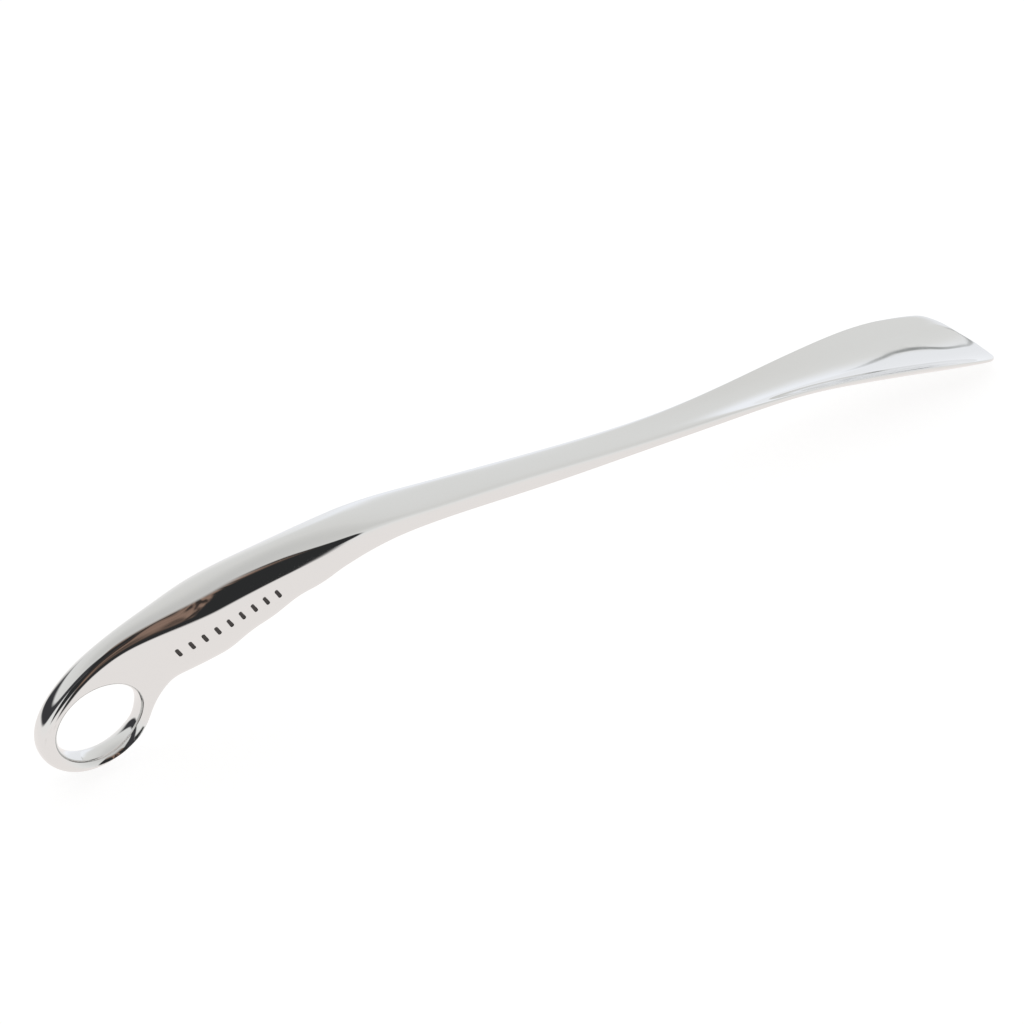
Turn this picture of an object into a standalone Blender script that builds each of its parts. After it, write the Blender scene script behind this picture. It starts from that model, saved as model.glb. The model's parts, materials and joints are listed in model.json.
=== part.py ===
"""A long shoehorn: one polished, plated metal casting with a finger ring, a grip with
finger grooves, a flat shank and a troughed blade, and a row of enamel-filled bars
sunk in the near side of the grip.

Metres, +Z up. +X runs from the ring to the blade, and the middle plane is Y = 0. The
dimensions below measure x from the back of the ring; the finished part is moved so
that the origin is under its middle, at the height of the blade's lowest point.
Run it with blender --background --python part.py, or from Blender's text editor.
"""

from math import cos, pi, radians, sin

import bmesh
import bpy
import numpy as np
from mathutils import Matrix, Vector

MM = 0.001

# ---- Driving dimensions ---------------------------------------------------------
LENGTH = 424 * MM  # from the back of the ring to the tip of the blade
ORIGIN = Vector((211.93 * MM, 0, 0.24 * MM))  # the origin, in the dimensions below
HOLE_CENTRE = (21.1 * MM, 19.2 * MM)  # x and z of the finger hole
HOLE_RADIUS = 14.9 * MM  # at the middle plane, where the hole is narrowest
RING_HALF_THICKNESS = 4.6 * MM
GRIP_HALF_THICKNESS = 9.0 * MM
FLARE = (24 * MM, 66 * MM)  # where the ring's thickness grows into the grip's

# Sections of the free part of the ring, from the belly round the back to the spine:
# the angle at the hole, in degrees, and the x and z of the outer edge, in millimetres.
RING_SECTIONS = (
    (-6, 41.2, 18.4),
    (-30, 37.9, 10.0),
    (-52, 32.6, 5.6),
    (-75, 26.5, 1.9),
    (-98, 18.9, 0.0),
    (-122, 10.6, 1.8),
    (-146, 3.7, 7.3),
    (-170, -0.4, 15.4),
    (166, 0.4, 24.6),
    (143, 5.0, 32.6),
    (122, 10.9, 38.4),
    (102, 17.6, 43.6),
    (82, 26.8, 48.0),
    (62, 37.2, 51.2),
)
SEAM_ANGLES = (8, 22, 35, 48)  # where the hole's edge faces the grip, in degrees

# Stations along the grip, shank and blade, in millimetres: x, half width, then the
# heights of the crest (top, middle), rim (top of the side), chine (foot of the side)
# and keel (bottom, middle).
STATIONS = (
    (47, 9.0, 53.0, 42.0, 29.5, 23.4),
    (65, 9.0, 56.2, 47.0, 33.0, 26.0),
    (86, 9.0, 58.0, 51.4, 39.1, 33.3),
    (107, 9.0, 57.4, 53.2, 43.3, 38.7),
    (128, 8.6, 54.9, 53.8, 46.4, 42.8),
    (145, 8.25, 51.7, 51.3, 45.2, 42.7),
    (170, 7.5, 47.7, 47.2, 41.3, 39.2),
    (200, 6.95, 42.6, 42.3, 36.5, 34.8),
    (230, 6.9, 37.6, 37.5, 33.0, 31.4),
    (260, 7.3, 33.3, 33.8, 30.1, 28.2),
    (290, 8.9, 29.7, 31.5, 28.2, 25.8),
    (320, 11.7, 25.0, 29.2, 26.9, 22.4),
    (350, 15.5, 18.8, 25.5, 22.9, 16.6),
    (380, 19.0, 11.6, 20.3, 17.8, 9.5),
    (402, 20.2, 6.2, 14.8, 12.4, 4.0),
    (424, 20.4, 1.9, 8.2, 6.4, 0.0),
)
GRIP_END = 107 * MM  # up to here the sides follow the flare, then the table
EDGE_START, EDGE_END = 60 * MM, 94 * MM  # where the shoulder tightens to an edge
FOOT_START, FOOT_END = 100 * MM, 134 * MM  # where the foot of the side draws in
EDGE_ROUND = 0.9 * MM  # how far the edge's two rows are from its corner
HOLLOW_START, HOLLOW_END = 250 * MM, 320 * MM  # where the belly becomes the trough's

# Finger grooves along the belly.
GROOVE_PITCH = 18.5 * MM
GROOVE_DEPTH = 0.75 * MM
GROOVE_FIRST = 71.5 * MM
GROOVE_SPAN = (58 * MM, 116 * MM)

# The blade's end is an arc in plan: its sections bow forward, more and more.
BOW_START = 300 * MM
BOW_END = 7.5 * MM
CORNER_RADIUS = 8 * MM
CORNER_SHARE = 0.96  # how much of the quarter circle a corner turns through

# Nine equal slanted bars in a row along the near side of the grip: round-ended slots
# in the casting, each filled with dark enamel.
BAR_COUNT = 9
ROW_START, ROW_END = (49.8 * MM, 37.6 * MM), (86.4 * MM, 45.2 * MM)  # x and z
ROW_RISE = 0.7 * MM  # how far the row's middle is above the straight line
BAR_LENGTH, BAR_WIDTH = 4.0 * MM, 1.2 * MM
BAR_LEAN = radians(14)  # from square to the row
SLOT_DEPTH = 1.2 * MM
SLOT_CLEARANCE = 0.08 * MM  # round the enamel
SLOT_FLOOR_GAP = 0.3 * MM  # under the enamel
ENAMEL_INSET = 0.06 * MM  # below the polished surface
CUTTER_RISE = 1.0 * MM  # how far a slot's cutter stands out of the surface

SUBDIVISIONS = 1


def clear_scene():
    for obj in list(bpy.data.objects):
        bpy.data.objects.remove(obj, do_unlink=True)


def collection(name):
    made = bpy.data.collections.new(name)
    bpy.context.scene.collection.children.link(made)
    return made


def material(name, colour, metallic, roughness):
    made = bpy.data.materials.new(name)
    made.use_nodes = True
    shader = made.node_tree.nodes["Principled BSDF"]
    shader.inputs["Base Color"].default_value = (*colour, 1)
    shader.inputs["Metallic"].default_value = metallic
    shader.inputs["Roughness"].default_value = roughness
    return made


def smoothstep(value, start, end):
    t = min(max((value - start) / (end - start), 0), 1)
    return t * t * (3 - 2 * t)


def natural_spline(knots, values):
    """A function through the values with continuous curvature (a natural cubic)."""
    knots = np.asarray(knots, float)
    values = np.asarray(values, float)
    gaps = np.diff(knots)
    slopes = np.diff(values, axis=0) / gaps[:, None]
    count = len(knots)
    system = np.eye(count)
    right = np.zeros_like(values)
    for i in range(1, count - 1):
        system[i, i - 1 : i + 2] = gaps[i - 1], 2 * (gaps[i - 1] + gaps[i]), gaps[i]
        right[i] = 6 * (slopes[i] - slopes[i - 1])
    bend = np.linalg.solve(system, right)

    def at(x):
        i = int(np.clip(np.searchsorted(knots, x) - 1, 0, count - 2))
        gap, before, after = gaps[i], x - knots[i], knots[i + 1] - x
        cubic = bend[i] * after**3 + bend[i + 1] * before**3
        linear = (values[i] / gap - bend[i] * gap / 6) * after
        linear += (values[i + 1] / gap - bend[i + 1] * gap / 6) * before
        return cubic / (6 * gap) + linear

    return at


body_at = natural_spline(
    [row[0] * MM for row in STATIONS],
    [[value * MM for value in row[1:]] for row in STATIONS],
)


def flare_width(x, z):
    """Half thickness where the ring grows into the grip."""
    along = x + 0.5 * (z - 45 * MM)
    growth = smoothstep(along, *FLARE)
    return RING_HALF_THICKNESS + growth * (GRIP_HALF_THICKNESS - RING_HALF_THICKNESS)


def groove(x):
    """How far the belly is lifted at x by the finger grooves."""
    start, end = GROOVE_SPAN
    fade = smoothstep(x, start, start + 10 * MM) * smoothstep(-x, -end, 10 * MM - end)
    return fade * GROOVE_DEPTH * sin(2 * pi * (x - GROOVE_FIRST) / GROOVE_PITCH)


def corner_loss(x):
    """How much the end's round corners take off the half width at x."""
    past = max(x - (LENGTH - CORNER_RADIUS), 0) * CORNER_SHARE
    return CORNER_RADIUS - (CORNER_RADIUS**2 - past**2) ** 0.5


def mix(a, b, t):
    return tuple(p + (q - p) * t for p, q in zip(a, b))


def body_section(x):
    """Half a section of the body, from the keel to the crest, as (x, y, z) points."""
    full_width, crest, rim, chine, keel = body_at(x)
    keel += groove(x)
    chine += 0.8 * groove(x)
    width = full_width - corner_loss(x)
    kept = (width / full_width) ** 2.5
    dome, belly = (crest - rim) * kept, (chine - keel) * kept
    rim, chine = crest - dome, keel + belly
    round_top = ((1.0, rim), (0.88, rim + 0.66 * dome), (0.5, crest - 0.02 * dome))
    hollow = smoothstep(x, HOLLOW_START, HOLLOW_END)
    round_in = min(EDGE_ROUND, 0.45 * (rim - chine))
    tuck = 1 - 0.3 * round_in / width
    edged_top = (
        (tuck, rim - 0.8 * round_in),
        (1 - 1.2 * round_in / width, rim + 3.4 * dome * round_in / width),
        (0.5, crest - (0.17 - 0.04 * hollow) * dome),
    )
    sharp = smoothstep(x, EDGE_START, EDGE_END)
    top = [mix(a, b, sharp) for a, b in zip(round_top, edged_top)]
    side_top = top[0][1]
    low, high = mix((0.1, 0.45), (0.14, 0.62), hollow)
    rows = [(0, keel), (0.5, keel + low * belly), (0.87, keel + high * belly)]
    rows.append((1 + (tuck - 1) * smoothstep(x, FOOT_START, FOOT_END), chine))
    rows += [(1.0, chine + (side_top - chine) * t) for t in (1 / 3, 2 / 3)]
    rows += top + [(0, crest)]
    bow = BOW_END * smoothstep(x, BOW_START, LENGTH)
    points = []
    for across, z in rows:
        half = flare_width(x, z) if x < GRIP_END else width
        y = across * half
        points.append((x - bow * (y / full_width) ** 2, y, z))
    return points


def station_positions():
    """Cage sections: close together along the grooves, wider along the shank."""
    grip = np.linspace(STATIONS[0][0] * MM, 122 * MM, 15)
    shank = np.linspace(134 * MM, 290 * MM, 12)
    blade = np.linspace(302 * MM, LENGTH - CORNER_RADIUS, 9)
    end = [LENGTH - CORNER_RADIUS * (1 - share) for share in (0.45, 0.75, 0.92, 1)]
    return [*grip, *shank, *blade, *end]


def hole_point(degrees):
    angle = radians(degrees)
    return (
        HOLE_CENTRE[0] + HOLE_RADIUS * cos(angle),
        HOLE_CENTRE[1] + HOLE_RADIUS * sin(angle),
    )


def softness(degrees):
    """How far the hole's edge is worn round for the finger: 1 at the lower front."""
    return max(cos(radians(1.7 * max(min(degrees + 48, 53), -53))), 0) ** 1.5


def inner_rows(inner, outward, wall, soft=0):
    """The hole's side of a ring section: its middle, its rounding, and the side face."""
    rise = min(0.5 * wall, 3.2 * MM)
    rise += soft * (0.75 * wall - rise)
    tight = ((0, 0), (0.48, 0.06), (0.86, 0.38), (1.0, 0.8))
    round_over = ((0, 0), (0.4, 0.14), (0.76, 0.5), (1.0, 1.0))
    rows = []
    for across, share in (mix(a, b, soft) for a, b in zip(tight, round_over)):
        x = inner[0] + outward[0] * rise * share
        z = inner[1] + outward[1] * rise * share
        rows.append((x, across * flare_width(x, z), z))
    return rows


def ring_section(degrees, outer_x, outer_z):
    """Half a section of the ring, from the middle of the hole's wall to the outside."""
    inner = hole_point(degrees)
    reach = (outer_x * MM - inner[0], outer_z * MM - inner[1])
    wall = (reach[0] ** 2 + reach[1] ** 2) ** 0.5
    outward = (reach[0] / wall, reach[1] / wall)
    soft = softness(degrees)
    rows = inner_rows(inner, outward, wall, soft)
    depth = min(0.6 * wall, 0.42 * wall + 1.0 * MM)
    depth += soft * (0.36 * wall - depth)
    for across, share in ((1.0, 1.0), (0.88, 0.36), (0.5, 0.06), (0, 0)):
        x = inner[0] + outward[0] * (wall - depth * share)
        z = inner[1] + outward[1] * (wall - depth * share)
        rows.append((x, across * flare_width(x, z), z))
    return rows


def seam_section(degrees):
    """The hole's side alone, where the ring runs into the grip."""
    inner = hole_point(degrees)
    outward = (cos(radians(degrees)), sin(radians(degrees)))
    return inner_rows(inner, outward, 10 * MM)


def casting_cage():
    """The half at +Y of the casting's control cage, open at the middle plane."""
    cage = bmesh.new()

    def add(points):
        return [cage.verts.new(Vector(point) - ORIGIN) for point in points]

    body = [add(body_section(x)) for x in station_positions()]
    for near, far in zip(body, body[1:]):
        for row in range(9):
            cage.faces.new((near[row], far[row], far[row + 1], near[row + 1]))
    end = body[-1]
    for low, high in ((0, 9), (1, 8), (2, 7), (3, 6)):
        cage.faces.new((end[low], end[low + 1], end[high - 1], end[high]))

    ring = [add(ring_section(*row)) for row in RING_SECTIONS]
    for near, far in zip(ring, ring[1:]):
        for row in range(7):
            cage.faces.new((near[row], near[row + 1], far[row + 1], far[row]))
    belly, spine = ring[0], ring[-1]
    seam = [add(seam_section(angle)) for angle in SEAM_ANGLES]
    around = [belly[:4], *seam, spine[:4]]
    for near, far in zip(around, around[1:]):
        for row in range(3):
            cage.faces.new((far[row], far[row + 1], near[row + 1], near[row]))

    first = body[0]
    face = [belly[4], *first[3:7], spine[4]]
    hole_side = [section[3] for section in around]
    for i in range(5):
        cage.faces.new((hole_side[i + 1], face[i + 1], face[i], hole_side[i]))
    for row in range(3):
        cage.faces.new((belly[7 - row], belly[6 - row], first[row + 1], first[row]))
        cage.faces.new((spine[6 - row], spine[7 - row], first[9 - row], first[8 - row]))
    bmesh.ops.recalc_face_normals(cage, faces=cage.faces)
    return cage


def casting(parts, metal):
    mesh = bpy.data.meshes.new("shoehorn_casting")
    cage = casting_cage()
    cage.to_mesh(mesh)
    cage.free()
    mesh.materials.append(metal)
    mesh.shade_smooth()
    made = bpy.data.objects.new("shoehorn_casting", mesh)
    parts.objects.link(made)
    mirror = made.modifiers.new("Halves", "MIRROR")
    mirror.use_axis = (False, True, False)
    mirror.use_mirror_merge = True
    mirror.merge_threshold = 0.05 * MM
    smooth = made.modifiers.new("Smooth", "SUBSURF")
    smooth.levels = SUBDIVISIONS
    smooth.render_levels = SUBDIVISIONS
    return made


def bar_frame(index):
    """The place of one bar: its centre, length along local X, outward along local Z."""
    share = index / (BAR_COUNT - 1)
    x, z = (start + (end - start) * share for start, end in zip(ROW_START, ROW_END))
    z += ROW_RISE * 4 * share * (1 - share)
    step = 0.5 * MM
    slope_x = (flare_width(x + step, z) - flare_width(x - step, z)) / (2 * step)
    slope_z = (flare_width(x, z + step) - flare_width(x, z - step)) / (2 * step)
    outward = Vector((-slope_x, -1, -slope_z)).normalized()
    row_run = Vector((ROW_END[0] - ROW_START[0], 0, ROW_END[1] - ROW_START[1]))
    upright = outward.cross(row_run).normalized()
    long_axis = Matrix.Rotation(BAR_LEAN, 3, outward) @ upright
    cross_axis = outward.cross(long_axis)
    frame = Matrix((long_axis, cross_axis, outward)).transposed().to_4x4()
    frame.translation = Vector((x, -flare_width(x, z), z)) - ORIGIN
    return frame


def slot_mesh(name, grow, low, high):
    """A round-ended bar between two heights, larger all round by grow."""
    shape = bmesh.new()
    radius = BAR_WIDTH / 2 + grow
    turn = Matrix.Rotation(pi / 12, 4, "Z")
    lift = Matrix.Translation((0, 0, (low + high) / 2))
    bmesh.ops.create_cone(
        shape,
        cap_ends=True,
        segments=12,
        radius1=radius,
        radius2=radius,
        depth=high - low,
        matrix=lift @ turn,
    )
    for vert in shape.verts:
        side = 1 if vert.co.x > 0 else -1
        vert.co.x += side * (BAR_LENGTH - BAR_WIDTH) / 2
    mesh = bpy.data.meshes.new(name)
    shape.to_mesh(mesh)
    shape.free()
    return mesh


def mark(parts, cutters, body, enamel):
    """The row of slots, cut from the casting, and the enamel that fills each one."""
    cutter_mesh = slot_mesh("slot_cutter", SLOT_CLEARANCE, -SLOT_DEPTH, CUTTER_RISE)
    floor = SLOT_FLOOR_GAP - SLOT_DEPTH
    infill_mesh = slot_mesh("mark_infill", 0, floor, -ENAMEL_INSET)
    infill_mesh.materials.append(enamel)
    for index in range(BAR_COUNT):
        frame = bar_frame(index)
        cutter = bpy.data.objects.new(f"slot_cutter_{index + 1}", cutter_mesh)
        cutter.matrix_world = frame
        cutter.hide_render = True
        cutter.display_type = "WIRE"
        cutters.objects.link(cutter)
        infill = bpy.data.objects.new(f"mark_infill_{index + 1}", infill_mesh)
        infill.matrix_world = frame
        parts.objects.link(infill)
    cut = body.modifiers.new("Slots", "BOOLEAN")
    cut.operation = "DIFFERENCE"
    cut.solver = "EXACT"
    cut.operand_type = "COLLECTION"
    cut.collection = cutters


def main():
    clear_scene()
    parts = collection("long_shoehorn")
    cutters = collection("cutters")
    metal = material("plated_metal", (0.80, 0.80, 0.79), 1.0, 0.06)
    enamel = material("dark_enamel", (0.03, 0.028, 0.027), 0.0, 0.35)
    body = casting(parts, metal)
    mark(parts, cutters, body, enamel)


main()
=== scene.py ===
# %% [markdown]
# # A long shoehorn
# The real object is one polished and plated metal casting: a finger ring, a grip with
# finger grooves, a flat shank and a troughed blade. The only other thing on it is a
# row of dark marks on the side of the grip. Nothing on it moves. That it is cast and
# plated, and that the marks are sunk and filled, is how its look is read.
#
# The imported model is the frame: it has the right size and place, but coarse facets.
# On a mirror finish every facet shows, so the casting is built again here from the
# same control cage with more subdivisions, and stands for the coarse one.

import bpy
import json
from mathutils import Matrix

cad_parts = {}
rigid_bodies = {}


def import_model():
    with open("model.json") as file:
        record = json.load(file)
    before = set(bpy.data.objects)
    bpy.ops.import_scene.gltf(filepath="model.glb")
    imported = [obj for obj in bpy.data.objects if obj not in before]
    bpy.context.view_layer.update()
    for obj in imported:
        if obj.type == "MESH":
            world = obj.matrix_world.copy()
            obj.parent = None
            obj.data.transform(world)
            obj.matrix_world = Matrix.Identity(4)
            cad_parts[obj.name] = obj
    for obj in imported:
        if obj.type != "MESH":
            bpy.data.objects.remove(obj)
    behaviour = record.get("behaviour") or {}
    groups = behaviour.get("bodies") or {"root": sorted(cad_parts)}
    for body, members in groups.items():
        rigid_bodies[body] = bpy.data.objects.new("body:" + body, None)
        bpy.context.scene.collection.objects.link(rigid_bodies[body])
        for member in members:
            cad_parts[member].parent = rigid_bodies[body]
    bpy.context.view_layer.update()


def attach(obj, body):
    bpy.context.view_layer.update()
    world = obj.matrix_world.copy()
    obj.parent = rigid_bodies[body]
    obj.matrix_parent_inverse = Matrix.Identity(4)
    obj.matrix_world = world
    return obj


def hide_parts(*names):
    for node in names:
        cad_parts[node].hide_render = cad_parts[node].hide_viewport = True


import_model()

# %% Tools and units
from math import cos, pi, radians, sin
import json

import bmesh
import bpy
import numpy as np
from mathutils import Matrix, Vector

MM = 0.001
print("modelling in metres, 1 mm =", MM)

# %% [markdown]
# ## The casting's driving dimensions
# A casting like this is drawn as a few side views and a table of cross-sections, and
# a pattern maker blends them by hand. Here x runs from the back of the ring to the tip
# of the blade and z is the height. Sculpting could give the same look, but in a table
# of sections every width and height has a number that can be measured and changed.

# %% Dimensions of the ring and the grip
LENGTH = 424 * MM
ORIGIN = Vector((211.93 * MM, 0, 0.24 * MM))
HOLE_CENTRE = (21.1 * MM, 19.2 * MM)
HOLE_RADIUS = 14.9 * MM
RING_HALF_THICKNESS = 4.6 * MM
GRIP_HALF_THICKNESS = 9.0 * MM
FLARE = (24 * MM, 66 * MM)

# The angle at the hole in degrees, then x and z of the ring's outer edge in mm.
RING_SECTIONS = (
    (-6, 41.2, 18.4),
    (-30, 37.9, 10.0),
    (-52, 32.6, 5.6),
    (-75, 26.5, 1.9),
    (-98, 18.9, 0.0),
    (-122, 10.6, 1.8),
    (-146, 3.7, 7.3),
    (-170, -0.4, 15.4),
    (166, 0.4, 24.6),
    (143, 5.0, 32.6),
    (122, 10.9, 38.4),
    (102, 17.6, 43.6),
    (82, 26.8, 48.0),
    (62, 37.2, 51.2),
)
SEAM_ANGLES = (8, 22, 35, 48)

# %% Stations along the grip, shank and blade
# In mm: x, half width, then the heights of the crest (top, middle), the rim (top of
# the side), the chine (foot of the side) and the keel (bottom, middle).
STATIONS = (
    (47, 9.0, 53.0, 42.0, 29.5, 23.4),
    (65, 9.0, 56.2, 47.0, 33.0, 26.0),
    (86, 9.0, 58.0, 51.4, 39.1, 33.3),
    (107, 9.0, 57.4, 53.2, 43.3, 38.7),
    (128, 8.6, 54.9, 53.8, 46.4, 42.8),
    (145, 8.25, 51.7, 51.3, 45.2, 42.7),
    (170, 7.5, 47.7, 47.2, 41.3, 39.2),
    (200, 6.95, 42.6, 42.3, 36.5, 34.8),
    (230, 6.9, 37.6, 37.5, 33.0, 31.4),
    (260, 7.3, 33.3, 33.8, 30.1, 28.2),
    (290, 8.9, 29.7, 31.5, 28.2, 25.8),
    (320, 11.7, 25.0, 29.2, 26.9, 22.4),
    (350, 15.5, 18.8, 25.5, 22.9, 16.6),
    (380, 19.0, 11.6, 20.3, 17.8, 9.5),
    (402, 20.2, 6.2, 14.8, 12.4, 4.0),
    (424, 20.4, 1.9, 8.2, 6.4, 0.0),
)
GRIP_END = 107 * MM
EDGE_START, EDGE_END = 60 * MM, 94 * MM
FOOT_START, FOOT_END = 100 * MM, 134 * MM
EDGE_ROUND = 0.9 * MM
HOLLOW_START, HOLLOW_END = 250 * MM, 320 * MM

GROOVE_PITCH = 18.5 * MM
GROOVE_DEPTH = 0.75 * MM
GROOVE_FIRST = 71.5 * MM
GROOVE_SPAN = (58 * MM, 116 * MM)

BOW_START = 300 * MM
BOW_END = 7.5 * MM
CORNER_RADIUS = 8 * MM
CORNER_SHARE = 0.96
print("stations:", len(STATIONS), "ring sections:", len(RING_SECTIONS))

# %% [markdown]
# ## From the table to smooth sections
# Straight lines between the stations would leave a kink at each one, and a mirror
# shows a kink as a broken reflection. A natural cubic spline has continuous
# curvature, so reflections flow through the stations without a break.

# %% A spline through the stations
def smoothstep(value, start, end):
    t = min(max((value - start) / (end - start), 0), 1)
    return t * t * (3 - 2 * t)


def natural_spline(knots, values):
    """A function through the values with continuous curvature."""
    knots = np.asarray(knots, float)
    values = np.asarray(values, float)
    gaps = np.diff(knots)
    slopes = np.diff(values, axis=0) / gaps[:, None]
    count = len(knots)
    system = np.eye(count)
    right = np.zeros_like(values)
    for i in range(1, count - 1):
        system[i, i - 1 : i + 2] = gaps[i - 1], 2 * (gaps[i - 1] + gaps[i]), gaps[i]
        right[i] = 6 * (slopes[i] - slopes[i - 1])
    bend = np.linalg.solve(system, right)

    def at(x):
        i = int(np.clip(np.searchsorted(knots, x) - 1, 0, count - 2))
        gap, before, after = gaps[i], x - knots[i], knots[i + 1] - x
        cubic = bend[i] * after**3 + bend[i + 1] * before**3
        linear = (values[i] / gap - bend[i] * gap / 6) * after
        linear += (values[i + 1] / gap - bend[i + 1] * gap / 6) * before
        return cubic / (6 * gap) + linear

    return at


body_at = natural_spline(
    [row[0] * MM for row in STATIONS],
    [[value * MM for value in row[1:]] for row in STATIONS],
)
print("half width at mid-length, mm:", round(float(body_at(LENGTH / 2)[0]) / MM, 2))

# %% The parts of a section
def flare_width(x, z):
    """Half thickness where the ring grows into the grip."""
    along = x + 0.5 * (z - 45 * MM)
    growth = smoothstep(along, *FLARE)
    return RING_HALF_THICKNESS + growth * (GRIP_HALF_THICKNESS - RING_HALF_THICKNESS)


def groove(x):
    """How far the belly is lifted at x by the finger grooves."""
    start, end = GROOVE_SPAN
    fade = smoothstep(x, start, start + 10 * MM) * smoothstep(-x, -end, 10 * MM - end)
    return fade * GROOVE_DEPTH * sin(2 * pi * (x - GROOVE_FIRST) / GROOVE_PITCH)


def corner_loss(x):
    """How much the end's round corners take off the half width at x."""
    past = max(x - (LENGTH - CORNER_RADIUS), 0) * CORNER_SHARE
    return CORNER_RADIUS - (CORNER_RADIUS**2 - past**2) ** 0.5


def mix(a, b, t):
    return tuple(p + (q - p) * t for p, q in zip(a, b))


def body_section(x):
    """Half a section of the body, from the keel to the crest, as (x, y, z) points."""
    full_width, crest, rim, chine, keel = body_at(x)
    keel += groove(x)
    chine += 0.8 * groove(x)
    width = full_width - corner_loss(x)
    kept = (width / full_width) ** 2.5
    dome, belly = (crest - rim) * kept, (chine - keel) * kept
    rim, chine = crest - dome, keel + belly
    round_top = ((1.0, rim), (0.88, rim + 0.66 * dome), (0.5, crest - 0.02 * dome))
    hollow = smoothstep(x, HOLLOW_START, HOLLOW_END)
    round_in = min(EDGE_ROUND, 0.45 * (rim - chine))
    tuck = 1 - 0.3 * round_in / width
    edged_top = (
        (tuck, rim - 0.8 * round_in),
        (1 - 1.2 * round_in / width, rim + 3.4 * dome * round_in / width),
        (0.5, crest - (0.17 - 0.04 * hollow) * dome),
    )
    sharp = smoothstep(x, EDGE_START, EDGE_END)
    top = [mix(a, b, sharp) for a, b in zip(round_top, edged_top)]
    side_top = top[0][1]
    low, high = mix((0.1, 0.45), (0.14, 0.62), hollow)
    rows = [(0, keel), (0.5, keel + low * belly), (0.87, keel + high * belly)]
    rows.append((1 + (tuck - 1) * smoothstep(x, FOOT_START, FOOT_END), chine))
    rows += [(1.0, chine + (side_top - chine) * t) for t in (1 / 3, 2 / 3)]
    rows += top + [(0, crest)]
    bow = BOW_END * smoothstep(x, BOW_START, LENGTH)
    points = []
    for across, z in rows:
        half = flare_width(x, z) if x < GRIP_END else width
        y = across * half
        points.append((x - bow * (y / full_width) ** 2, y, z))
    return points


print("points in half a section:", len(body_section(LENGTH / 2)))

# %% [markdown]
# ## The finger ring
# The ring is a bent bar with a D-shaped section that grows into the grip. A torus
# would be quicker, but its section is the same all round, and this one is fuller at
# the spine and thinner at the belly. So each section has an inner edge on the hole's
# circle and its own outer edge. The hole has a tight edge at each side except at its
# lower front, where the wall is rounded right over for the finger.

# %% Sections of the ring
def hole_point(degrees):
    angle = radians(degrees)
    return (
        HOLE_CENTRE[0] + HOLE_RADIUS * cos(angle),
        HOLE_CENTRE[1] + HOLE_RADIUS * sin(angle),
    )


def softness(degrees):
    """How far the hole's edge is worn round for the finger: 1 at the lower front."""
    return max(cos(radians(1.7 * max(min(degrees + 48, 53), -53))), 0) ** 1.5


def inner_rows(inner, outward, wall, soft=0):
    """The hole's side of a ring section: its middle, its rounding, and the side face."""
    rise = min(0.5 * wall, 3.2 * MM)
    rise += soft * (0.75 * wall - rise)
    tight = ((0, 0), (0.48, 0.06), (0.86, 0.38), (1.0, 0.8))
    round_over = ((0, 0), (0.4, 0.14), (0.76, 0.5), (1.0, 1.0))
    rows = []
    for across, share in (mix(a, b, soft) for a, b in zip(tight, round_over)):
        x = inner[0] + outward[0] * rise * share
        z = inner[1] + outward[1] * rise * share
        rows.append((x, across * flare_width(x, z), z))
    return rows


def ring_section(degrees, outer_x, outer_z):
    """Half a section of the ring, from the middle of the hole's wall to the outside."""
    inner = hole_point(degrees)
    reach = (outer_x * MM - inner[0], outer_z * MM - inner[1])
    wall = (reach[0] ** 2 + reach[1] ** 2) ** 0.5
    outward = (reach[0] / wall, reach[1] / wall)
    soft = softness(degrees)
    rows = inner_rows(inner, outward, wall, soft)
    depth = min(0.6 * wall, 0.42 * wall + 1.0 * MM)
    depth += soft * (0.36 * wall - depth)
    for across, share in ((1.0, 1.0), (0.88, 0.36), (0.5, 0.06), (0, 0)):
        x = inner[0] + outward[0] * (wall - depth * share)
        z = inner[1] + outward[1] * (wall - depth * share)
        rows.append((x, across * flare_width(x, z), z))
    return rows


def seam_section(degrees):
    """The hole's side alone, where the ring runs into the grip."""
    inner = hole_point(degrees)
    outward = (cos(radians(degrees)), sin(radians(degrees)))
    return inner_rows(inner, outward, 10 * MM)


print("points in half a ring section:", len(ring_section(*RING_SECTIONS[0])))

# %% [markdown]
# ## The cage and its subdivision
# The sections are joined with four-sided faces into half a cage, which Mirror makes
# whole and Subdivision Surface rounds. Quads matter: a triangle or a five-sided face
# in a cage leaves a dimple that chrome makes plain. The coarse model uses one level
# of subdivision, and this one uses three.

# %% Build the half cage
FINE_LEVELS = 3


def station_positions():
    grip = np.linspace(STATIONS[0][0] * MM, 122 * MM, 15)
    shank = np.linspace(134 * MM, 290 * MM, 12)
    blade = np.linspace(302 * MM, LENGTH - CORNER_RADIUS, 9)
    end = [LENGTH - CORNER_RADIUS * (1 - share) for share in (0.45, 0.75, 0.92, 1)]
    return [*grip, *shank, *blade, *end]


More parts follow.
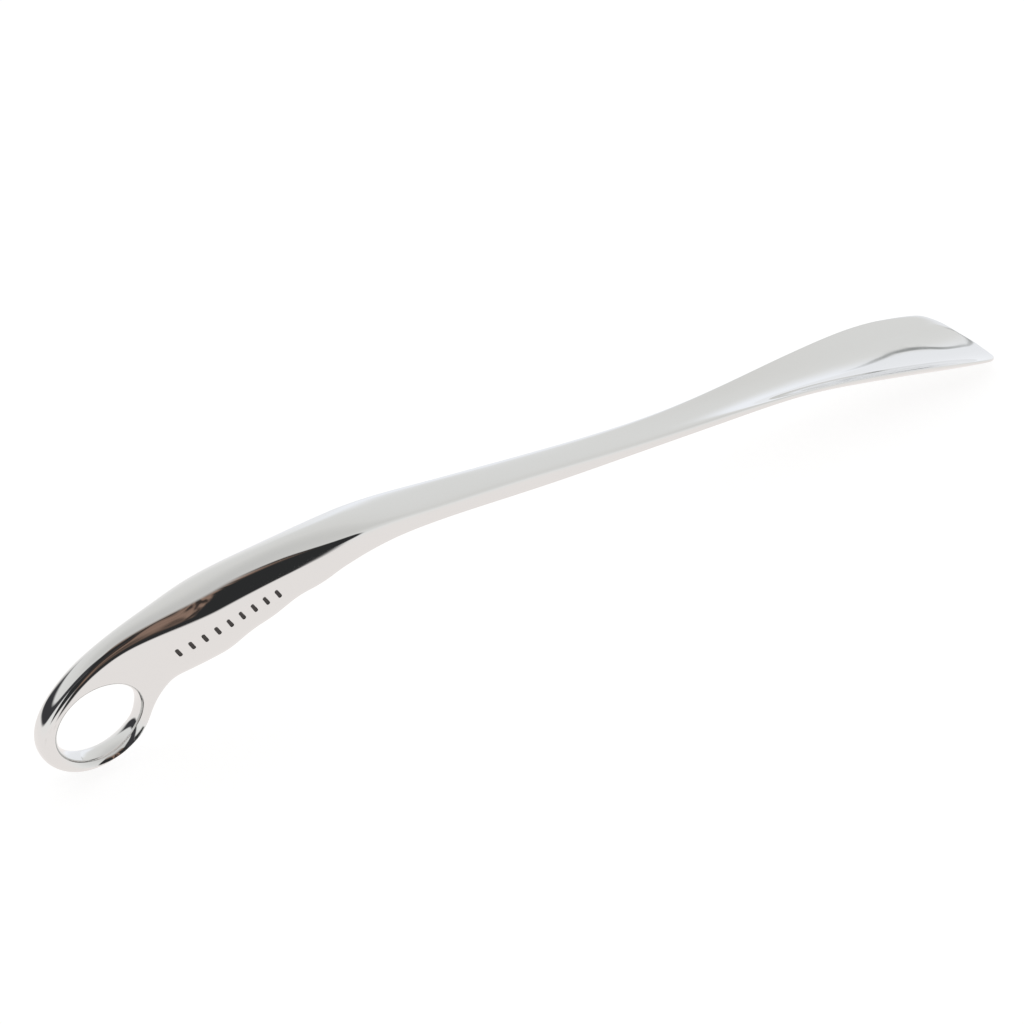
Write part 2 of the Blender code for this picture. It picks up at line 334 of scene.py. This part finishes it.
def casting_cage():
    cage = bmesh.new()

    def add(points):
        return [cage.verts.new(Vector(point) - ORIGIN) for point in points]

    body = [add(body_section(x)) for x in station_positions()]
    for near, far in zip(body, body[1:]):
        for row in range(9):
            cage.faces.new((near[row], far[row], far[row + 1], near[row + 1]))
    end = body[-1]
    for low, high in ((0, 9), (1, 8), (2, 7), (3, 6)):
        cage.faces.new((end[low], end[low + 1], end[high - 1], end[high]))

    ring = [add(ring_section(*row)) for row in RING_SECTIONS]
    for near, far in zip(ring, ring[1:]):
        for row in range(7):
            cage.faces.new((near[row], near[row + 1], far[row + 1], far[row]))
    belly, spine = ring[0], ring[-1]
    seam = [add(seam_section(angle)) for angle in SEAM_ANGLES]
    around = [belly[:4], *seam, spine[:4]]
    for near, far in zip(around, around[1:]):
        for row in range(3):
            cage.faces.new((far[row], far[row + 1], near[row + 1], near[row]))

    first = body[0]
    face = [belly[4], *first[3:7], spine[4]]
    hole_side = [section[3] for section in around]
    for i in range(5):
        cage.faces.new((hole_side[i + 1], face[i + 1], face[i], hole_side[i]))
    for row in range(3):
        cage.faces.new((belly[7 - row], belly[6 - row], first[row + 1], first[row]))
        cage.faces.new((spine[6 - row], spine[7 - row], first[9 - row], first[8 - row]))
    bmesh.ops.recalc_face_normals(cage, faces=cage.faces)
    return cage


def new_object(name, mesh):
    made = bpy.data.objects.new(name, mesh)
    bpy.context.scene.collection.objects.link(made)
    return made


cage = casting_cage()
casting_mesh = bpy.data.meshes.new("polished_casting")
cage.to_mesh(casting_mesh)
cage.free()
casting_mesh.shade_smooth()
casting = new_object("polished_casting", casting_mesh)
halves = casting.modifiers.new("Halves", "MIRROR")
halves.use_axis = (False, True, False)
halves.use_mirror_merge = True
halves.merge_threshold = 0.05 * MM
rounding = casting.modifiers.new("Rounding", "SUBSURF")
rounding.levels = rounding.render_levels = FINE_LEVELS
print("cage faces:", len(casting_mesh.polygons))

# %% [markdown]
# ## The row of marks
# The real grip has dark marks on its polished side. They are made here as nine equal,
# slanted, round-ended slots with dark enamel in them. Painting the bars on as a
# texture would look flat close up; a real slot catches a thin bright line on its edge,
# and the enamel sits a hair below the metal, slightly dished as it is when it dries.

# %% Where each bar is
BAR_COUNT = 9
ROW_START, ROW_END = (49.8 * MM, 37.6 * MM), (86.4 * MM, 45.2 * MM)
ROW_RISE = 0.7 * MM
BAR_LENGTH, BAR_WIDTH = 4.0 * MM, 1.2 * MM
BAR_LEAN = radians(14)
SLOT_DEPTH = 1.2 * MM
SLOT_CLEARANCE = 0.08 * MM
SLOT_FLOOR_GAP = 0.3 * MM
ENAMEL_INSET = 0.06 * MM
CUTTER_RISE = 1.0 * MM
ROUND_END_SIDES = 32
DISH = 0.09 * MM
BAR_EDGE_ANGLE = radians(40)


def bar_frame(index):
    """The place of one bar: its centre, length along local X, outward along local Z."""
    share = index / (BAR_COUNT - 1)
    x, z = (start + (end - start) * share for start, end in zip(ROW_START, ROW_END))
    z += ROW_RISE * 4 * share * (1 - share)
    step = 0.5 * MM
    slope_x = (flare_width(x + step, z) - flare_width(x - step, z)) / (2 * step)
    slope_z = (flare_width(x, z + step) - flare_width(x, z - step)) / (2 * step)
    outward = Vector((-slope_x, -1, -slope_z)).normalized()
    row_run = Vector((ROW_END[0] - ROW_START[0], 0, ROW_END[1] - ROW_START[1]))
    upright = outward.cross(row_run).normalized()
    long_axis = Matrix.Rotation(BAR_LEAN, 3, outward) @ upright
    cross_axis = outward.cross(long_axis)
    placed = Matrix((long_axis, cross_axis, outward)).transposed().to_4x4()
    placed.translation = Vector((x, -flare_width(x, z), z)) - ORIGIN
    return placed


print("first bar at, mm:", [round(v / MM, 1) for v in bar_frame(0).translation])

# %% A round-ended bar
def bar_outline(grow):
    """The bar's outline, larger all round by grow."""
    radius = BAR_WIDTH / 2 + grow
    points = []
    for step in range(ROUND_END_SIDES):
        angle = 2 * pi * (step + 0.5) / ROUND_END_SIDES
        side = 1 if cos(angle) > 0 else -1
        x = radius * cos(angle) + side * (BAR_LENGTH - BAR_WIDTH) / 2
        points.append((x, radius * sin(angle)))
    return points


def bar_solid(name, rings):
    """A closed bar from rings of (grow, height), lowest first, with flat ends."""
    shape = bmesh.new()
    loops = [
        [shape.verts.new((x, y, height)) for x, y in bar_outline(grow)]
        for grow, height in rings
    ]
    for low, high in zip(loops, loops[1:]):
        for i in range(ROUND_END_SIDES):
            j = (i + 1) % ROUND_END_SIDES
            shape.faces.new((low[i], low[j], high[j], high[i]))
    shape.faces.new(loops[0][::-1])
    shape.faces.new(loops[-1])
    bmesh.ops.recalc_face_normals(shape, faces=shape.faces)
    mesh = bpy.data.meshes.new(name)
    shape.to_mesh(mesh)
    shape.free()
    mesh.shade_smooth()
    mesh.set_sharp_from_angle(angle=BAR_EDGE_ANGLE)
    return mesh


cutter_mesh = bar_solid(
    "slot_cutter",
    ((SLOT_CLEARANCE, -SLOT_DEPTH), (SLOT_CLEARANCE, CUTTER_RISE)),
)
enamel_top = -ENAMEL_INSET
enamel_mesh = bar_solid(
    "enamel_bar",
    (
        (0, SLOT_FLOOR_GAP - SLOT_DEPTH),
        (0, enamel_top - 0.05 * MM),
        (-0.03 * MM, enamel_top),
        (-0.12 * MM, enamel_top - 0.3 * DISH),
        (-0.28 * MM, enamel_top - 0.75 * DISH),
        (-0.45 * MM, enamel_top - DISH),
    ),
)
print("faces in one enamel bar:", len(enamel_mesh.polygons))

# %% Cut the slots and set the bars
SLOT_EDGE_ANGLE = radians(38)
cutters = bpy.data.collections.new("slot_cutters")
bars = []
for index in range(BAR_COUNT):
    cutter = bpy.data.objects.new(f"slot_cutter_{index + 1}", cutter_mesh)
    cutter.matrix_world = bar_frame(index)
    cutters.objects.link(cutter)
    bar = new_object(f"enamel_bar_{index + 1}", enamel_mesh.copy())
    bar.matrix_world = bar_frame(index)
    bars.append(bar)

cut = casting.modifiers.new("Slots", "BOOLEAN")
cut.operation = "DIFFERENCE"
cut.solver = "EXACT"
cut.operand_type = "COLLECTION"
cut.collection = cutters


def apply_modifiers(piece):
    """The piece keeps its final shape as plain mesh, and its modifiers are removed."""
    graph = bpy.context.evaluated_depsgraph_get()
    final = bpy.data.meshes.new_from_object(piece.evaluated_get(graph))
    old = piece.data
    piece.modifiers.clear()
    piece.data = final
    bpy.data.meshes.remove(old)


bpy.context.view_layer.update()
apply_modifiers(casting)
for cutter in list(cutters.objects):
    bpy.data.objects.remove(cutter, do_unlink=True)
bpy.data.collections.remove(cutters)
casting.data.set_sharp_from_angle(angle=SLOT_EDGE_ANGLE)
print("casting faces:", len(casting.data.polygons), "bars:", len(bars))

# %% Hand the pieces to the frame
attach(casting, "root")
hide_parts("shoehorn_casting")
for index, bar in enumerate(bars):
    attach(bar, "root")
    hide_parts(f"mark_infill_{index + 1}")
print("pieces riding on the root:", 1 + len(bars))

# %% [markdown]
# ## Building shader nodes with less typing
# Nodes are made in code so that the file needs no images. These helpers make a node,
# set its values and wire its inputs in one call.

# %% Node helpers
def put(tree, kind, settings=None, **inputs):
    """A node of this kind. An input is a number, a colour or another node's output."""
    node = tree.nodes.new(kind)
    for name, value in (settings or {}).items():
        setattr(node, name, value)
    for name, value in inputs.items():
        key = int(name[1:]) if name[0] == "i" and name[1:].isdigit() else name
        socket = node.inputs[key.replace("_", " ") if isinstance(key, str) else key]
        if isinstance(value, bpy.types.NodeSocket):
            tree.links.new(value, socket)
        else:
            socket.default_value = value
    return node


def sums(tree, operation, a, b=0.0, c=0.0):
    """One step of arithmetic."""
    node = put(tree, "ShaderNodeMath", {"operation": operation}, i0=a, i1=b, i2=c)
    return node.outputs[0]


def ramp(tree, value, start, end, low=0.0, high=1.0):
    """A soft step from low to high as value goes from start to end."""
    node = put(
        tree,
        "ShaderNodeMapRange",
        {"interpolation_type": "SMOOTHSTEP"},
        Value=value,
        From_Min=start,
        From_Max=end,
        To_Min=low,
        To_Max=high,
    )
    return node.outputs["Result"]


def product(tree, first, *others):
    """All the values multiplied together."""
    for other in others:
        first = sums(tree, "MULTIPLY", first, other)
    return first


def band(tree, value, rise, fall):
    """1 between a soft rise and a soft fall, each given as (start, end), and 0 outside."""
    return product(tree, ramp(tree, value, *rise), ramp(tree, value, *fall, 1, 0))


def blend_colours(tree, share, first, second):
    """The first colour where share is 0, the second where it is 1."""
    node = put(
        tree, "ShaderNodeMix", {"data_type": "RGBA"}, i0=share, i6=first, i7=second
    )
    return node.outputs[2]


print("node helpers ready")

# %% [markdown]
# ## Handling marks
# Bright metal and enamel both pick up faint smears from hands and cloths. They never
# change the colour much; they only make the gloss uneven. Both materials use this one
# group: it puts out a mask that is 1 on a smear, and a height for a fine wiping grain.

# %% The handling marks group
def new_group(name, inputs, outputs):
    tree = bpy.data.node_groups.new(name, "ShaderNodeTree")
    for label, value in inputs:
        socket = tree.interface.new_socket(label, socket_type="NodeSocketFloat")
        socket.default_value = value
    for label in outputs:
        tree.interface.new_socket(
            label, in_out="OUTPUT", socket_type="NodeSocketFloat"
        )
    return tree, tree.nodes.new("NodeGroupInput"), tree.nodes.new("NodeGroupOutput")


def noise(tree, where, scale, detail=3.0, rough=0.5):
    node = put(
        tree,
        "ShaderNodeTexNoise",
        Vector=where,
        Scale=scale,
        Detail=detail,
        Roughness=rough,
    )
    return node.outputs["Fac"]


def stretched(tree, where, scale):
    """The same place with each axis scaled, so that a pattern runs along the object."""
    node = put(tree, "ShaderNodeMapping", Vector=where, Scale=scale)
    return node.outputs["Vector"]


marks, marks_in, marks_out = new_group(
    "handling_marks",
    (("Smear Scale", 40.0), ("Grain Scale", 900.0), ("Coverage", 0.5)),
    ("Smear", "Grain"),
)
place = put(marks, "ShaderNodeTexCoord").outputs["Object"]
patches = noise(marks, place, marks_in.outputs["Smear Scale"], 4.0, 0.6)
wipes = noise(marks, stretched(marks, place, (30, 260, 260)), 1.0, 5.0, 0.6)
uneven = sums(marks, "ADD", sums(marks, "MULTIPLY", wipes, 0.45), patches)
covered = sums(marks, "MULTIPLY", marks_in.outputs["Coverage"], 0.9)
gate = sums(marks, "SUBTRACT", 1.25, covered)
smear = ramp(marks, uneven, sums(marks, "SUBTRACT", gate, 0.25), gate)
grain = noise(marks, stretched(marks, place, (0.12, 1, 1)), marks_in.outputs["Grain Scale"])
marks.links.new(smear, marks_out.inputs["Smear"])
marks.links.new(grain, marks_out.inputs["Grain"])
print("group inputs:", [item.name for item in marks.interface.items_tree])

# %% [markdown]
# ## Plated metal
# A casting like this is ground, polished by hand on soft wheels and plated, so it is a
# mirror, but not a perfect one: slow ripples from the wheel bend the reflections, the
# lightest wiping lines run along it, and the plating is a little softer on the edges
# that rub in use. A metal of one colour and one gloss would look too perfect. Here the
# ripples are a Bump from slow noise, and the gloss follows the handling marks.

# %% The plated metal
def fresh_material(name):
    made = bpy.data.materials.new(name)
    made.use_nodes = True
    return made, made.node_tree, made.node_tree.nodes["Principled BSDF"]


metal, tree, shader = fresh_material("plated_metal")
shader.inputs["Metallic"].default_value = 1.0
place = put(tree, "ShaderNodeTexCoord").outputs["Object"]
hand = put(
    tree,
    "ShaderNodeGroup",
    {"node_tree": marks},
    Smear_Scale=55.0,
    Grain_Scale=1400.0,
    Coverage=0.5,
)
point = put(tree, "ShaderNodeNewGeometry").outputs["Pointiness"]
broken = noise(tree, place, 260.0, 4.0, 0.6)
rubbed = sums(tree, "MULTIPLY", ramp(tree, point, 0.53, 0.62), ramp(tree, broken, 0.4, 0.62))
tint = blend_colours(
    tree,
    noise(tree, place, 18.0, 2.0),
    (0.775, 0.778, 0.772, 1),
    (0.795, 0.790, 0.778, 1),
)
worn = blend_colours(tree, sums(tree, "MULTIPLY", rubbed, 0.5), tint, (0.72, 0.715, 0.70, 1))
tree.links.new(worn, shader.inputs["Base Color"])
gloss = sums(tree, "MULTIPLY_ADD", hand.outputs["Smear"], 0.035, 0.022)
gloss = sums(tree, "MULTIPLY_ADD", rubbed, 0.05, gloss)
tree.links.new(gloss, shader.inputs["Roughness"])
slow = noise(tree, stretched(tree, place, (0.45, 1, 1)), 62.0, 1.0, 0.4)
height = sums(tree, "MULTIPLY_ADD", hand.outputs["Grain"], 0.004, slow)
bump = put(tree, "ShaderNodeBump", Strength=0.10, Distance=0.0012, Height=height)
tree.links.new(bump.outputs["Normal"], shader.inputs["Normal"])
casting.data.materials.clear()
casting.data.materials.append(metal)
print("plated metal nodes:", len(tree.nodes))

# %% [markdown]
# ## Dark enamel
# The filling is made as a hard, almost black paint, wiped flush and baked. It is
# glossy in the middle of a bar and duller where the cloth dragged over it.

# %% The dark enamel
enamel, tree, shader = fresh_material("dark_enamel")
place = put(tree, "ShaderNodeTexCoord").outputs["Object"]
hand = put(
    tree,
    "ShaderNodeGroup",
    {"node_tree": marks},
    Smear_Scale=700.0,
    Grain_Scale=5000.0,
    Coverage=0.7,
)
shade = blend_colours(
    tree,
    noise(tree, place, 1500.0, 3.0),
    (0.022, 0.018, 0.017, 1),
    (0.050, 0.040, 0.036, 1),
)
tree.links.new(shade, shader.inputs["Base Color"])
gloss = sums(tree, "MULTIPLY_ADD", hand.outputs["Smear"], 0.25, 0.28)
tree.links.new(gloss, shader.inputs["Roughness"])
grain = hand.outputs["Grain"]
bump = put(tree, "ShaderNodeBump", Strength=0.25, Distance=0.00005, Height=grain)
tree.links.new(bump.outputs["Normal"], shader.inputs["Normal"])
for bar in bars:
    bar.data.materials.clear()
    bar.data.materials.append(enamel)
print("dark enamel nodes:", len(tree.nodes))

# %% [markdown]
# ## The studio
# Chrome has no colour of its own: what it shows is the room. The room made for it here
# is a bright, pale surround with a dark opening on the camera's side, and the dark
# stripe along the grip is that opening. Beyond the blade stands a paler screen, and the
# dark gap over its sloping top is the thin line in the blade's trough. The places and
# brightnesses of these were tuned until the metal looked right. Cards on stands
# would do the same, but they would block other views, so the room is drawn in the
# World, by compass bearing and height. A view past the object sees a plain white wall.

# %% Bearing and height of a direction
world = bpy.data.worlds.new("studio")
bpy.context.scene.world = world
world.use_nodes = True
room = world.node_tree
room.nodes.clear()
DEGREES = 180 / pi
toward = put(
    room, "ShaderNodeSeparateXYZ", Vector=put(room, "ShaderNodeTexCoord").outputs["Generated"]
)
minus_y = sums(room, "MULTIPLY", toward.outputs["Y"], -1.0)
bearing = sums(
    room, "MULTIPLY", sums(room, "ARCTAN2", toward.outputs["X"], minus_y), DEGREES
)
above = sums(room, "MULTIPLY", sums(room, "ARCSINE", toward.outputs["Z"]), DEGREES)
print("bearing 0 is towards -Y, 90 is towards +X; height 90 is straight up")

# %% The pale surround
surround = room.nodes.new("ShaderNodeValToRGB")
room.links.new(ramp(room, above, -90, 90), surround.inputs["Fac"])
# (height in degrees, colour)
SURROUND = (
    (-60, (0.965, 0.925, 0.910)),
    (-20, (0.965, 0.930, 0.918)),
    (4, (0.93, 0.93, 0.925)),
    (24, (0.84, 0.845, 0.84)),
    (45, (0.80, 0.80, 0.79)),
    (64, (0.70, 0.70, 0.69)),
    (84, (0.66, 0.66, 0.655)),
)


def soft_place(height):
    """Where a height falls on the ramp, which is itself a soft step."""
    t = (height + 90) / 180
    return t * t * (3 - 2 * t)


stops = surround.color_ramp.elements
while len(stops) < len(SURROUND):
    stops.new(0.5)
for stop, (height, colour) in zip(stops, SURROUND):
    stop.position = soft_place(height)
    stop.color = (*colour, 1)
pale = surround.outputs["Color"]
print("surround stops:", len(stops))

# %% The lit corner behind the blade
CORNER_LIGHT = (1.04, 1.07, 1.13, 1)
SCREEN_WHITE = (0.97, 0.99, 1.03, 1)
GAP_DARK = (0.36, 0.37, 0.37, 1)


def soft_box(left, right, low, high, edge):
    """A soft-edged box in bearing and height."""
    across = band(room, bearing, (left - edge, left + edge), (right - edge, right + edge))
    up = band(room, above, (low - edge, low + edge), (high - edge, high + edge))
    return product(room, across, up)


pale = blend_colours(room, soft_box(122, 156, -30, 18, 7), pale, CORNER_LIGHT)

# A paler screen stands behind the blade, with a dark gap along its sloping top.
screen_top = sums(room, "MULTIPLY_ADD", bearing, -0.55, 83.3)
past_top = sums(room, "SUBTRACT", above, screen_top)
screen = product(
    room,
    ramp(room, past_top, -2.4, -1.4, 1, 0),
    ramp(room, bearing, 98, 110),
    ramp(room, above, -30, -14),
)
pale = blend_colours(room, screen, pale, SCREEN_WHITE)
gap = product(
    room,
    band(room, past_top, (-1.6, -1.0), (-0.5, 0.1)),
    band(room, bearing, (107, 114), (121, 129)),
)
pale = blend_colours(room, gap, pale, GAP_DARK)
print("corner light and screen added")

# %% The dark opening in front
# Above the horizon the opening widens with height.
raised = sums(room, "MAXIMUM", above, 0.0)
right_edge = sums(room, "MULTIPLY_ADD", raised, 0.30, 22.0)
left_edge = sums(room, "MULTIPLY_ADD", raised, -0.45, -12.0)
opening = product(
    room,
    ramp(room, sums(room, "SUBTRACT", bearing, left_edge), -3, 3),
    ramp(room, sums(room, "SUBTRACT", bearing, right_edge), -1.5, 1.5, 1, 0),
    band(room, above, (-25, -20), (54, 76)),
)
# Under the arc's near end it reaches further left, so that no pale gap is left there.
opening = sums(room, "MAXIMUM", opening, soft_box(-50, -8, -4, 30, 3))

# A dark arc runs from the opening round the left, lower as it goes further back.
arc_middle = ramp(room, bearing, -125, -45, 5, 41)
off_arc = sums(room, "ABSOLUTE", sums(room, "SUBTRACT", above, arc_middle))
arc = product(
    room,
    ramp(room, off_arc, 9, 16, 1, 0),
    band(room, bearing, (-172, -150), (-14, 0)),
)
print("opening and its arc drawn")

# %% What shows in the opening
OPENING_DARK = (0.030, 0.031, 0.032, 1)
ARC_DARK = (0.05, 0.05, 0.055, 1)
WARM_DARK, WARM_LIGHT = (0.045, 0.036, 0.032, 1), (0.30, 0.20, 0.155, 1)
streaks = put(
    room,
    "ShaderNodeTexNoise",
    {"noise_dimensions": "2D"},
    Vector=put(
        room,
        "ShaderNodeCombineXYZ",
        X=sums(room, "MULTIPLY", bearing, 0.26),
        Y=sums(room, "MULTIPLY", above, 0.03),
    ).outputs[0],
    Scale=1.0,
    Detail=1.5,
).outputs["Fac"]
warm_edge = sums(room, "MULTIPLY_ADD", raised, 0.16, 3.0)
warm = product(
    room,
    ramp(room, sums(room, "SUBTRACT", bearing, warm_edge), -1.5, 1.5, 1, 0),
    ramp(room, above, -12, -4),
    ramp(room, bearing, -14, -6),
)
warm = sums(room, "MAXIMUM", warm, ramp(room, above, 48, 58))
streaked = blend_colours(room, ramp(room, streaks, 0.35, 0.65), WARM_DARK, WARM_LIGHT)
inside = blend_colours(room, warm, OPENING_DARK, streaked)
seen = blend_colours(room, arc, pale, ARC_DARK)
seen = blend_colours(room, opening, seen, inside)

# The wall behind the object is plain white to the camera, whatever the metal shows.
backdrop = blend_colours(
    room, put(room, "ShaderNodeLightPath").outputs["Is Camera Ray"], seen, (1, 1, 1, 1)
)
background = put(room, "ShaderNodeBackground", Color=backdrop, Strength=1.0)
ending = room.nodes.new("ShaderNodeOutputWorld")
room.links.new(background.outputs[0], ending.inputs["Surface"])
print("world nodes:", len(room.nodes))

# %% [markdown]
# ## The floor
# The object lies on a white table that glows like a translucent one lit from below,
# which takes almost all of the shadow away. It is made as a pale grey diffuse surface
# that gives out white light as well. Its reflection in the metal is already drawn in
# the World, so the floor itself is left out of reflections.

# %% The pale table
FLOOR_SIZE = 12.0
FLOOR_GAP = 0.2 * MM
floor_shape = bmesh.new()
bmesh.ops.create_grid(floor_shape, x_segments=4, y_segments=4, size=FLOOR_SIZE / 2)
floor_mesh = bpy.data.meshes.new("pale_table")
floor_shape.to_mesh(floor_mesh)
floor_shape.free()
floor = new_object("pale_table", floor_mesh)
floor.location.z = -FLOOR_GAP
floor.visible_glossy = False
white, tree, shader = fresh_material("pale_table")
shader.inputs["Base Color"].default_value = (0.42, 0.42, 0.42, 1)
shader.inputs["Roughness"].default_value = 0.9
shader.inputs["Specular IOR Level"].default_value = 0.0
shader.inputs["Emission Color"].default_value = (1, 1, 1, 1)
shader.inputs["Emission Strength"].default_value = 0.78
floor_mesh.materials.append(white)
print("floor side, m:", FLOOR_SIZE)

# %% [markdown]
# ## The camera
# A long lens from the front left, well above the table, so that the grip is near and
# the blade runs away to the right. The lens length is in millimetres on a 36 mm wide
# sensor, which is Blender's default.

# %% Place the camera
CAMERA_PLACE = (-364.13 * MM, -467.1 * MM, 502.26 * MM)
AZIMUTH, ELEVATION = -36.0, 39.6
LENS_MM = 73.83
camera_data = bpy.data.cameras.new("camera")
camera_data.lens = LENS_MM
camera_data.sensor_width = 36
camera_data.clip_start = 0.01
camera = new_object("camera", camera_data)
camera.location = CAMERA_PLACE
camera.rotation_euler = (radians(90 - ELEVATION), 0, radians(AZIMUTH))
bpy.context.scene.camera = camera
bpy.context.scene.view_settings.view_transform = "Standard"
print("camera at", CAMERA_PLACE)
